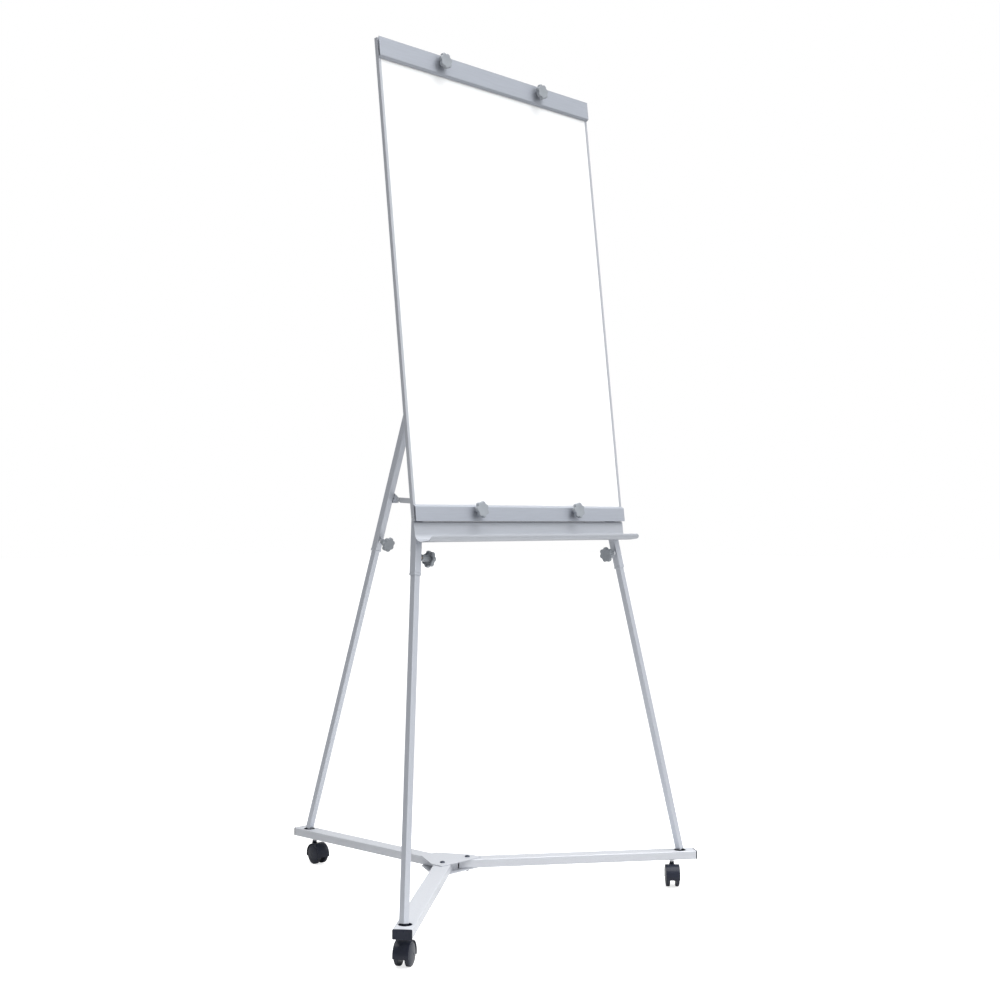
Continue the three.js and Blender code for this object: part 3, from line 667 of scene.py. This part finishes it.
def make_sleeve(side, matrix, body, start):
    """The sleeve at the outer tube's lower end, a little wider than the tube."""
    mesh = bmesh.new()
    outer = rounded_square(OUTER_TUBE + 2 * SLEEVE_RIM, 2.4)
    inner = rounded_square(INNER_TUBE + 2 * GAP, 1.4)
    top = start - GAP
    add_tube(mesh, outer, inner, top - SLEEVE_LENGTH, top)
    name = f"{side}_tube_sleeve"
    sleeve = make_piece(name, mesh, matrix, TUBE_SILVER, body, 0.5)
    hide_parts(f"{side}_leg_collar")


def make_tube_plug(side, matrix, body, top):
    """The plug in the outer tube's upper end, just below its rim."""
    mesh = bmesh.new()
    width = OUTER_TUBE - 2 * OUTER_WALL - GAP
    add_prism(mesh, rounded_square(width, 0.7), top - 8, top - 0.4)
    make_piece(f"{side}_tube_plug", mesh, matrix, BLACK, body, 0.3)


def make_foot(side, matrix, body):
    """A plug with a flange under the inner tube and a round stub for the seat."""
    mesh = bmesh.new()
    add_prism(mesh, rounded_square(INNER_TUBE, INNER_CORNER), 0, FOOT_FLANGE)
    spigot = INNER_TUBE - 2 * INNER_WALL - 2 * GAP
    add_prism(mesh, rounded_square(spigot, 1), FOOT_FLANGE - 0.2, 12)
    stub = [
        (0.4, 0.5),
        (6.5, 0.5),
        (6.5, 0.9 - FOOT_DEPTH),
        (6.1, 0.2 - FOOT_DEPTH),
        (5.5, -FOOT_DEPTH),
        (0.4, -FOOT_DEPTH),
    ]
    add_lathe(mesh, stub, 40)
    foot = make_piece(f"{side}_foot_plug", mesh, matrix, BLACK, body, 0.25)
    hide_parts(f"{side}_leg_foot")


def make_leg_clamp(side, matrix, body, height, toward):
    """The rivet nut in the outer tube, and the knob whose stud ends at the tube's wall."""
    rivet_nut(f"{side}_rivet_nut", turned(matrix, 0, 0, height, toward), body)
    x, y = (LEG_KNOB_REACH, 0) if toward == "+x" else (0, -LEG_KNOB_REACH)
    spin = Matrix.Rotation(math.radians(LEG_KNOB_TURN), 4, "Z")
    place = turned(matrix, x, y, height, toward) @ spin
    stud_length = LEG_KNOB_REACH - OUTER_TUBE / 2 - 0.2
    make_knob(f"{side}_leg_knob", place, LEG_KNOB_HUB, stud_length)


def make_leg(side, upper_body, start, top, toward, rise):
    """One telescopic leg: its outer tube runs from start to top, its clamp is rise above start."""
    matrix = leg_matrix(side)
    lower_body = f"{side}_lower_leg"
    make_outer_tube(side, matrix, upper_body, start, top)
    make_inner_tube(side, matrix, lower_body, start + TUBE_OVERLAP)
    make_sleeve(side, matrix, upper_body, start)
    make_tube_plug(side, matrix, upper_body, top)
    make_foot(side, matrix, lower_body)
    make_leg_clamp(side, matrix, upper_body, start + rise, toward)


make_leg("left", "board", FRONT_OUTER_START, front_leg_length(), "+x", FRONT_CLAMP_RISE)
make_leg("right", "board", FRONT_OUTER_START, front_leg_length(), "+x", FRONT_CLAMP_RISE)
make_leg("rear", "rear_leg", REAR_OUTER_START, REAR_TUBE_TOP, "-y", REAR_CLAMP_RISE)

# ------------------------------------------------------------------------------- base


def make_seat(side, body):
    """The cup in the arm that a foot stands in, flush with the arm's top."""
    spot = arm_spot(side, arm_reach(side) - FOOT_INSET)
    floor = ARM_TOP - FOOT_DEPTH - 2.5
    wall = SEAT_RADIUS
    inside = SEAT_RADIUS - 1
    profile = [
        (0.5, floor - 1.2),
        (wall - 0.6, floor - 1.2),
        (wall, floor - 0.6),
        (wall, ARM_TOP - 0.4),
        (wall - 0.3, ARM_TOP - 0.1),
        (inside + 0.3, ARM_TOP - 0.1),
        (inside, ARM_TOP - 0.4),
        (inside, floor + 0.6),
        (inside - 0.6, floor),
        (0.5, floor),
    ]
    mesh = bmesh.new()
    add_lathe(mesh, profile, 64)
    matrix = MM @ Matrix.Translation(spot)
    seat = make_piece(f"{side}_foot_cup", mesh, matrix, BLACK, body)
    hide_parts(f"{side}_leg_seat")


def make_pivot_bolt(side, sign):
    """A domed bolt with a hexagon socket in its head."""
    seat = HUB_TOP + GAP

    def hexagon(across_flats):
        def radius_at(angle):
            fold = (angle + math.pi / 6) % (math.pi / 3) - math.pi / 6
            return across_flats / 2 / math.cos(fold)

        return radius_at

    rings = [
        (circle(0.3), 53.5),
        (circle(3.4), 53.5),
        (circle(4.0), 54.2),
        (circle(4.0), seat),
        (circle(5.8), seat),
        (circle(6.0), seat + 0.4),
        (circle(5.9), seat + 1.3),
        (circle(5.1), seat + 2.4),
        (circle(4.0), seat + 3.0),
        (hexagon(4.6), seat + 3.0),
        (hexagon(4.2), seat + 2.7),
        (hexagon(4.2), seat + 1.0),
        (circle(0.3), seat + 0.8),
    ]
    mesh = bmesh.new()
    add_loft(mesh, [ring_points(48, radius_at, height) for radius_at, height in rings])
    matrix = MM @ Matrix.Translation((sign * PIVOT_HALF_SPACING, PIVOT_Y, 0))
    bolt = make_piece(f"{side}_hub_bolt", mesh, matrix, DARK_STEEL, "base")
    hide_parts(f"{side}_pivot_bolt")


make_seat("left", "left_arm")
make_seat("right", "right_arm")
make_seat("rear", "base")
make_pivot_bolt("left", -1)
make_pivot_bolt("right", 1)

# ---------------------------------------------------------------------------- casters

HOOD_RADIUS = 27.6
HOOD_INNER_RADIUS = 25.7
HOOD_HALF_WIDTH = 17
WEB_HALF = 3.6
HOOD_FROM = -12
HOOD_TO = 196
HOOD_STEPS = 56


def add_hood_shell(mesh, section):
    """Sweeps a closed (x, radius) section round the wheel's axle, over the hood's arc."""
    rings = []
    for i in range(HOOD_STEPS + 1):
        angle = math.radians(HOOD_FROM + (HOOD_TO - HOOD_FROM) * i / HOOD_STEPS)
        ring = []
        for x, radius in section:
            y = CASTER_TRAIL + radius * math.cos(angle)
            z = WHEEL_RADIUS + radius * math.sin(angle)
            ring.append(Vector((x, y, z)))
        rings.append(ring)
    add_loft(mesh, rings)


def shell_section(corner):
    """The section of the hood's shell: flat inside, with round outer corners."""
    points = [(-HOOD_HALF_WIDTH, HOOD_INNER_RADIUS), (HOOD_HALF_WIDTH, HOOD_INNER_RADIUS)]
    x, radius = HOOD_HALF_WIDTH - corner, HOOD_RADIUS - corner
    points += arc(x, radius, corner, 0, 90, 5)
    points += arc(-x, radius, corner, 90, 180, 5)
    return points


def make_hood(side, body, matrix):
    """An arched shell on a middle web, the boss for the stem, and the axle."""
    mesh = bmesh.new()
    add_hood_shell(mesh, shell_section(1.0))
    web_radius = HOOD_INNER_RADIUS + 0.4
    web = arc(CASTER_TRAIL, WHEEL_RADIUS, web_radius, HOOD_FROM, HOOD_TO, HOOD_STEPS)
    add_prism(mesh, web, -WEB_HALF, WEB_HALF, SIDEWAYS)
    shell = make_piece(f"{side}_hood", mesh, matrix, BLACK, body, 0.35)
    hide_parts(f"{side}_caster_hood")

    mesh = bmesh.new()
    boss = [
        (4.6, 57.0),
        (5.1, 57.0),
        (5.5, 56.7),
        (5.6, 56.2),
        (5.6, 53.2),
        (5.9, 52.7),
        (6.6, 52.2),
        (6.6, 48.6),
        (4.6, 48.6),
    ]
    add_lathe(mesh, boss, 40, hollow=True)
    make_piece(f"{side}_hood_boss", mesh, matrix, BLACK, body)

    mesh = bmesh.new()
    axle = turned(matrix, 0, CASTER_TRAIL, WHEEL_RADIUS, "+x")
    add_lathe(mesh, [(0.3, -15), (2.6, -15), (3, -14.6), (3, 14.6), (2.6, 15), (0.3, 15)], 24)
    make_piece(f"{side}_axle", mesh, axle, ZINC, body)


def make_wheel(side, letter, sign, matrix):
    """One of a caster's two wheels: a domed face with a groove near its rim, and a tread."""
    body = f"{side}_wheel_{letter}"
    axle = turned(matrix, 0, CASTER_TRAIL, WHEEL_RADIUS, "+x")
    if sign < 0:
        axle = axle @ Matrix.Rotation(math.pi, 4, "X")
    mesh = bmesh.new()
    face = [
        (0.4, 17.6),
        (2.4, 17.6),
        (2.8, 18.1),
        (6.0, 18.1),
        (11.0, 17.8),
        (16.0, 17.2),
        (20.2, 16.4),
        (22.0, 15.9),
        (22.4, 15.5),
        (23.0, 15.5),
        (23.4, 15.8),
        (24.2, 15.2),
        (24.2, 7.6),
        (23.4, 7.2),
        (8.0, 7.2),
        (7.4, 6.9),
        (4.2, 6.8),
        (3.4, 7.2),
        (3.4, 15.3),
        (0.4, 15.3),
    ]
    add_lathe(mesh, face, 72)
    disc = make_piece(f"{side}_wheel_{letter}_disc", mesh, axle, BLACK, body)
    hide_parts(f"{side}_caster_wheel_{letter}")

    mesh = bmesh.new()
    tread = [
        (24.0, 15.3),
        (24.5, 15.0),
        (24.9, 14.4),
        (25.0, 13.4),
        (25.0, 8.2),
        (24.9, 7.6),
        (24.6, 7.2),
        (24.0, 7.1),
    ]
    add_lathe(mesh, tread, 72, hollow=True)
    make_piece(f"{side}_wheel_{letter}_tread", mesh, axle, TREAD, body)


def make_stem(side, body):
    """The bright grip-neck stem between the arm and the hood."""
    profile = [
        (0.4, 49.8),
        (3.4, 49.8),
        (4.0, 50.6),
        (4.0, 57.3),
        (5.3, 57.3),
        (5.6, 57.6),
        (5.6, 59.0),
        (5.3, 59.3),
        (5.3, 59.9),
        (5.6, 60.2),
        (5.7, 61.4),
        (6.2, 62.2),
        (6.6, 62.6),
        (6.6, 63.4),
        (6.3, 63.7),
        (4.0, 63.7),
        (4.0, 72.4),
        (3.4, 73.0),
        (0.4, 73.0),
    ]
    mesh = bmesh.new()
    add_lathe(mesh, profile, 40)
    matrix = MM @ Matrix.Translation(arm_spot(side, arm_reach(side) - CASTER_INSET))
    stem = make_piece(f"{side}_stem", mesh, matrix, ZINC, body)
    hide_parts(f"{side}_caster_stem")


def make_caster(side, arm_body):
    matrix = caster_matrix(side)
    make_hood(side, f"{side}_caster", matrix)
    make_wheel(side, "a", 1, matrix)
    make_wheel(side, "b", -1, matrix)
    make_stem(side, arm_body)


make_caster("left", "left_arm")
make_caster("right", "right_arm")
make_caster("rear", "base")

# ------------------------------------------------------------------------------ board


def make_aluminium(name, mesh, material, body, bevel):
    """A piece of anodised aluminium, drawn in the board's frame."""
    return make_piece(name, mesh, BOARD, material, body, bevel)


def make_pen_tray():
    """A J-shaped trough of sheet: flange, large bend, short floor and a low round lip."""
    flange, sheet, bottom = 9.5, 1.5, -46
    lip, lip_top = -39.7, -34.4
    small_bend, back_bend, front_bend = 1.2, 20, 9
    under = -GAP - sheet
    outer = [(FRAME_BACK, under), (flange + 1.4, under)]
    outer += arc(flange + small_bend, under - small_bend, small_bend, 90, 180, 4)[1:]
    outer += arc(flange - back_bend, bottom + back_bend, back_bend, 0, -90, 18)
    outer += arc(lip + front_bend, bottom + front_bend, front_bend, -90, -180, 12)
    outer += [(lip, lip_top - 0.5), (lip + 0.2, lip_top)]
    inner = offset_path(outer, -sheet)
    round_corner = 9

    def inset(y, z):
        if y > lip + front_bend:
            return 0.0
        rise = max(0.0, z - (lip_top - round_corner))
        return round_corner - math.sqrt(max(round_corner**2 - rise**2, 0.0))

    mesh = bmesh.new()
    add_sheet(mesh, outer, inner, BOARD_WIDTH / 2, inset)
    # The trough's lighter anodised finish is painted light, for reflected floor light.
    tray = make_aluminium("pen_tray_trough", mesh, ANODISED_TRAY_PAINTED_LIGHT, "board", 0.3)
    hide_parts("pen_tray")


def make_clamp_bar(name, height, lowest, upside_down):
    """A flat bar of sheet whose inner edge is rolled back to grip the paper."""
    wall = 1.6
    back = FRAME_FRONT - GAP
    front = [(0.0, height), (0.0, 2.0)]
    front += arc(3.0, 2.0, 3.0, 180, 225, 5)[1:]
    front += [(back - 0.6, -3.6)]
    rear = offset_path(front, wall)
    if upside_down:
        front = [(y, height - z) for y, z in front]
        rear = [(y, height - z) for y, z in rear]
    front = [(y, z + lowest) for y, z in front]
    rear = [(y, z + lowest) for y, z in rear]
    mesh = bmesh.new()
    add_sheet(mesh, front, rear, BOARD_WIDTH / 2)
    bar = make_aluminium(f"{name}_bar", mesh, ANODISED_ACROSS, f"{name}_clamp_bar", 0.25)
    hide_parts(f"{name}_clamp_bar")


def rail_outline():
    """The frame's section as (depth, inward): a channel with two grooves outside."""
    wall = 1.2
    groove = 0.55
    return [
        (FRAME_FRONT, FRAME_LIP),
        (FRAME_FRONT, 0.7),
        (FRAME_FRONT + 0.7, 0),
        (FRAME_FRONT + 2.4, 0),
        (FRAME_FRONT + 2.9, groove),
        (FRAME_FRONT + 3.7, groove),
        (FRAME_FRONT + 4.2, 0),
        (FRAME_FRONT + 6.2, 0),
        (FRAME_FRONT + 6.7, groove),
        (FRAME_FRONT + 7.5, groove),
        (FRAME_FRONT + 8.0, 0),
        (FRAME_BACK - 0.7, 0),
        (FRAME_BACK, 0.7),
        (FRAME_BACK, FRAME_LIP + 4),
        (FRAME_BACK - wall, FRAME_LIP + 4),
        (FRAME_BACK - wall, wall),
        (FRAME_FRONT + wall, wall),
        (FRAME_FRONT + wall, FRAME_LIP),
    ]


def make_frame_rails():
    half = BOARD_WIDTH / 2
    low, high = 0.5, BOARD_HEIGHT - 0.5
    for side, sign in SIDES:
        outline = [(sign * (half - inward), depth) for depth, inward in rail_outline()]
        mesh = bmesh.new()
        add_prism(mesh, outline, low, high)
        # The uprights' lighter anodised finish is painted light.
        rail = make_aluminium(f"{side}_rail", mesh, ANODISED_UPRIGHT_PAINTED_LIGHT, "board", 0.2)
        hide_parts(f"{side}_frame_rail")
    long_half = half - FRAME_LIP - 4 - GAP
    for name, edge, sign in (("top", high, -1), ("bottom", low, 1)):
        outline = [(depth, edge + sign * inward) for depth, inward in rail_outline()]
        mesh = bmesh.new()
        add_prism(mesh, outline, -long_half, long_half, SIDEWAYS)
        rail = make_aluminium(f"{name}_rail", mesh, ANODISED_ACROSS, "board", 0.2)
        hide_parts(f"{name}_frame_rail")


def make_backing():
    """The thin grey steel skin on the back of the panel."""
    margin = 2.2
    half = BOARD_WIDTH / 2 - margin
    low, high = margin, BOARD_HEIGHT - margin
    outline = [(-half, low), (half, low), (half, high), (-half, high)]
    mesh = bmesh.new()
    add_prism(mesh, outline, BACKING_FRONT, BACKING_REAR, UPRIGHT)
    make_piece("panel_backing", mesh, BOARD, BACKING, "board")


def make_rail_screw(side, sign):
    """A low domed screw near the foot of an upright rail, on its outer side."""
    radius, rise = 1.9, 0.8
    profile = [
        (0.2, 0),
        (radius, 0),
        (radius, rise * 0.4),
        (radius * 0.8, rise * 0.85),
        (radius * 0.4, rise),
        (0.2, rise),
    ]
    mesh = bmesh.new()
    add_lathe(mesh, profile, 28)
    spot = Matrix.Translation((sign * BOARD_WIDTH / 2, 11, 9))
    place = BOARD @ spot @ Matrix.Rotation(sign * math.pi / 2, 4, "Y")
    make_piece(f"rail_screw_{side}", mesh, place, ZINC, "board")


def make_panel_nut(bar, side, sign):
    """The flat round nut behind the panel that a clamp knob's stud passes through."""
    mesh = bmesh.new()
    add_lathe(mesh, [(3.6, 0), (6.5, 0), (6.5, 0.5), (5.9, 0.9), (3.6, 0.9)], 36, hollow=True)
    spot = (sign * KNOB_HALF_SPACING, BACKING_REAR + 0.01, KNOB_HEIGHTS[bar])
    place = BOARD @ Matrix.Translation(spot) @ Matrix.Rotation(-math.pi / 2, 4, "X")
    make_piece(f"{bar}_{side}_panel_nut", mesh, place, ZINC, "board")


def make_fasteners():
    for side, sign in SIDES:
        make_rail_screw(side, sign)
    for bar in KNOB_HEIGHTS:
        for side, sign in SIDES:
            make_panel_nut(bar, side, sign)


make_pen_tray()
make_clamp_bar("top", TOP_BAR_HEIGHT, BOARD_HEIGHT - TOP_BAR_HEIGHT, False)
make_clamp_bar("bottom", BOTTOM_BAR_HEIGHT, 0, True)
make_frame_rails()
make_backing()
make_fasteners()

# ------------------------------------------------------------------------ studio set


def floor_brightness(tree):
    """A pale sheet under the easel, which fades into a darker floor further out."""
    middle = (0.3, -0.5, 0)
    coordinates = tree.nodes.new("ShaderNodeTexCoord")
    distance = tree.nodes.new("ShaderNodeVectorMath")
    distance.operation = "DISTANCE"
    distance.inputs[1].default_value = middle
    fade = tree.nodes.new("ShaderNodeMapRange")
    fade.inputs["From Min"].default_value = 0.75
    fade.inputs["From Max"].default_value = 1.85
    fade.inputs["To Min"].default_value = 0.67
    fade.inputs["To Max"].default_value = 0.28
    tree.links.new(coordinates.outputs["Object"], distance.inputs[0])
    tree.links.new(distance.outputs["Value"], fade.inputs["Value"])
    return fade.outputs["Result"]


def floor_finish():
    """A pale matt floor, lifted to white where the camera sees it."""
    material = bpy.data.materials.new("studio_floor")
    material.use_nodes = True
    tree = material.node_tree
    tree.nodes.clear()
    output = tree.nodes.new("ShaderNodeOutputMaterial")
    rays = tree.nodes.new("ShaderNodeLightPath")
    glow = tree.nodes.new("ShaderNodeEmission")
    matt = tree.nodes.new("ShaderNodeBsdfDiffuse")
    tree.links.new(floor_brightness(tree), matt.inputs["Color"])
    lifted = tree.nodes.new("ShaderNodeAddShader")
    mix = tree.nodes.new("ShaderNodeMixShader")
    glow.inputs["Color"].default_value = (1, 1, 1, 1)
    glow.inputs["Strength"].default_value = 0.72
    tree.links.new(glow.outputs["Emission"], lifted.inputs[0])
    tree.links.new(matt.outputs["BSDF"], lifted.inputs[1])
    tree.links.new(rays.outputs["Is Camera Ray"], mix.inputs["Fac"])
    tree.links.new(matt.outputs["BSDF"], mix.inputs[1])
    tree.links.new(lifted.outputs["Shader"], mix.inputs[2])
    tree.links.new(mix.outputs["Shader"], output.inputs["Surface"])
    return material


def make_floor():
    """A wide floor, half a millimetre below the wheels."""
    mesh = bmesh.new()
    size = 30
    corners = [(-size, -size), (size, -size), (size, size), (-size, size)]
    mesh.faces.new([mesh.verts.new((x, y, -0.0005)) for x, y in corners])
    data = bpy.data.meshes.new("studio_floor")
    mesh.to_mesh(data)
    mesh.free()
    floor = bpy.data.objects.new("studio_floor", data)
    bpy.context.scene.collection.objects.link(floor)
    data.materials.append(floor_finish())


def make_sun(name, source, strength, spread):
    """Light from one direction, as even as a large distant softbox."""
    data = bpy.data.lights.new(name, "SUN")
    data.energy = strength
    data.angle = math.radians(spread)
    light = bpy.data.objects.new(name, data)
    light.rotation_euler = (-Vector(source)).to_track_quat("-Z", "Y").to_euler()
    bpy.context.scene.collection.objects.link(light)


def make_world(dim, bright):
    """Soft surroundings, brighter ahead of the easel and to its right than behind it.

    The camera sees them as a plain white backdrop.
    """
    world = bpy.data.worlds.new("studio")
    world.use_nodes = True
    tree = world.node_tree
    tree.nodes.clear()
    output = tree.nodes.new("ShaderNodeOutputWorld")
    mix = tree.nodes.new("ShaderNodeMixShader")
    rays = tree.nodes.new("ShaderNodeLightPath")
    soft = tree.nodes.new("ShaderNodeBackground")
    soft.inputs["Color"].default_value = (0.97, 0.985, 1.0, 1)
    direction = tree.nodes.new("ShaderNodeTexCoord")
    brightest = (0.6, -0.75, 0.28)
    toward = tree.nodes.new("ShaderNodeVectorMath")
    toward.operation = "DOT_PRODUCT"
    toward.inputs[1].default_value = brightest
    range_map = tree.nodes.new("ShaderNodeMapRange")
    range_map.inputs["From Min"].default_value = -1
    range_map.inputs["From Max"].default_value = 1
    range_map.inputs["To Min"].default_value = dim
    range_map.inputs["To Max"].default_value = bright
    tree.links.new(direction.outputs["Generated"], toward.inputs[0])
    tree.links.new(toward.outputs["Value"], range_map.inputs["Value"])
    tree.links.new(range_map.outputs["Result"], soft.inputs["Strength"])
    plain = tree.nodes.new("ShaderNodeBackground")
    plain.inputs["Color"].default_value = (1, 1, 1, 1)
    plain.inputs["Strength"].default_value = 1.0
    tree.links.new(rays.outputs["Is Camera Ray"], mix.inputs["Fac"])
    tree.links.new(soft.outputs["Background"], mix.inputs[1])
    tree.links.new(plain.outputs["Background"], mix.inputs[2])
    tree.links.new(mix.outputs["Shader"], output.inputs["Surface"])
    bpy.context.scene.world = world


def make_camera():
    """Ahead of the easel and to its left, a little below the middle of its height."""
    data = bpy.data.cameras.new("camera")
    data.sensor_width = 36
    data.lens = 53.06
    data.clip_end = 100
    camera = bpy.data.objects.new("camera", data)
    pivots = Vector((0, PIVOT_Y * 0.001, 0))
    camera.location = pivots + Vector((-2.4779, -2.4687, 0.8835))
    yaw, pitch = math.radians(46.85), math.radians(0.87)
    level = math.cos(pitch)
    forward = Vector((math.sin(yaw) * level, math.cos(yaw) * level, math.sin(pitch)))
    camera.rotation_mode = "QUATERNION"
    camera.rotation_quaternion = forward.to_track_quat("-Z", "Y")
    bpy.context.scene.collection.objects.link(camera)
    bpy.context.scene.camera = camera


bpy.context.scene.view_settings.view_transform = "Standard"
make_floor()
make_world(0.36, 0.8)
make_sun("key", (0.2, -0.55, 0.81), 2.0, 40)
make_sun("overhead", (0, 0, 1), 2.0, 60)
make_sun("fill", (-0.35, -0.93, 0.12), 0.3, 60)
make_camera()
